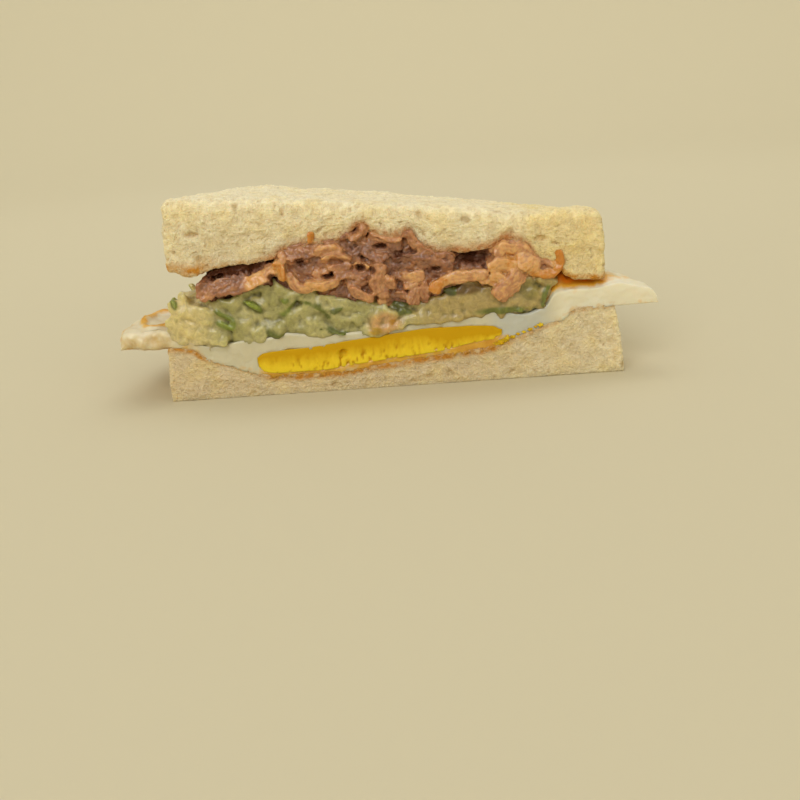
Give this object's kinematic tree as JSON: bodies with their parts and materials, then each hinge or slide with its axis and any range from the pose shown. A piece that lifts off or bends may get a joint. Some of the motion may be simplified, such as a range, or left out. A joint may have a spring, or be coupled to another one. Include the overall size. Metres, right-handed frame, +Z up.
{
  "type": "beef and egg toast sandwich",
  "caption": "Half of a crustless toast sandwich, cut straight across to show fried egg with yolk, cucumber salad and sliced beef between two slices.",
  "frame": {"origin": "middle of the flat underside of the lower slice", "axes": "+X along the knife cut, to the right as the cut face is seen; +Y away from the cut, towards the uncut back edge; +Z up through the layers"},
  "size_m": [0.1235, 0.0594, 0.0454],
  "materials": {
    "toast": "open crumb of white bread, lightly toasted on the faces",
    "egg_white": "set egg white, moist at the cut and browned on top in places",
    "egg_yolk": "firm cooked yolk, slightly pitted at the cut",
    "cucumber": "moist shredded cucumber in pale dressing, some green skin",
    "beef": "thin cooked slices in sauce, brown with tan fat, moist sheen"
  },
  "bodies": {
    "root": {"bottom_slice": "toast", "egg_white": "egg_white", "egg_yolk": "egg_yolk", "cucumber_salad": "cucumber", "beef": "beef", "top_slice": "toast"}
  },
  "joints": []
}
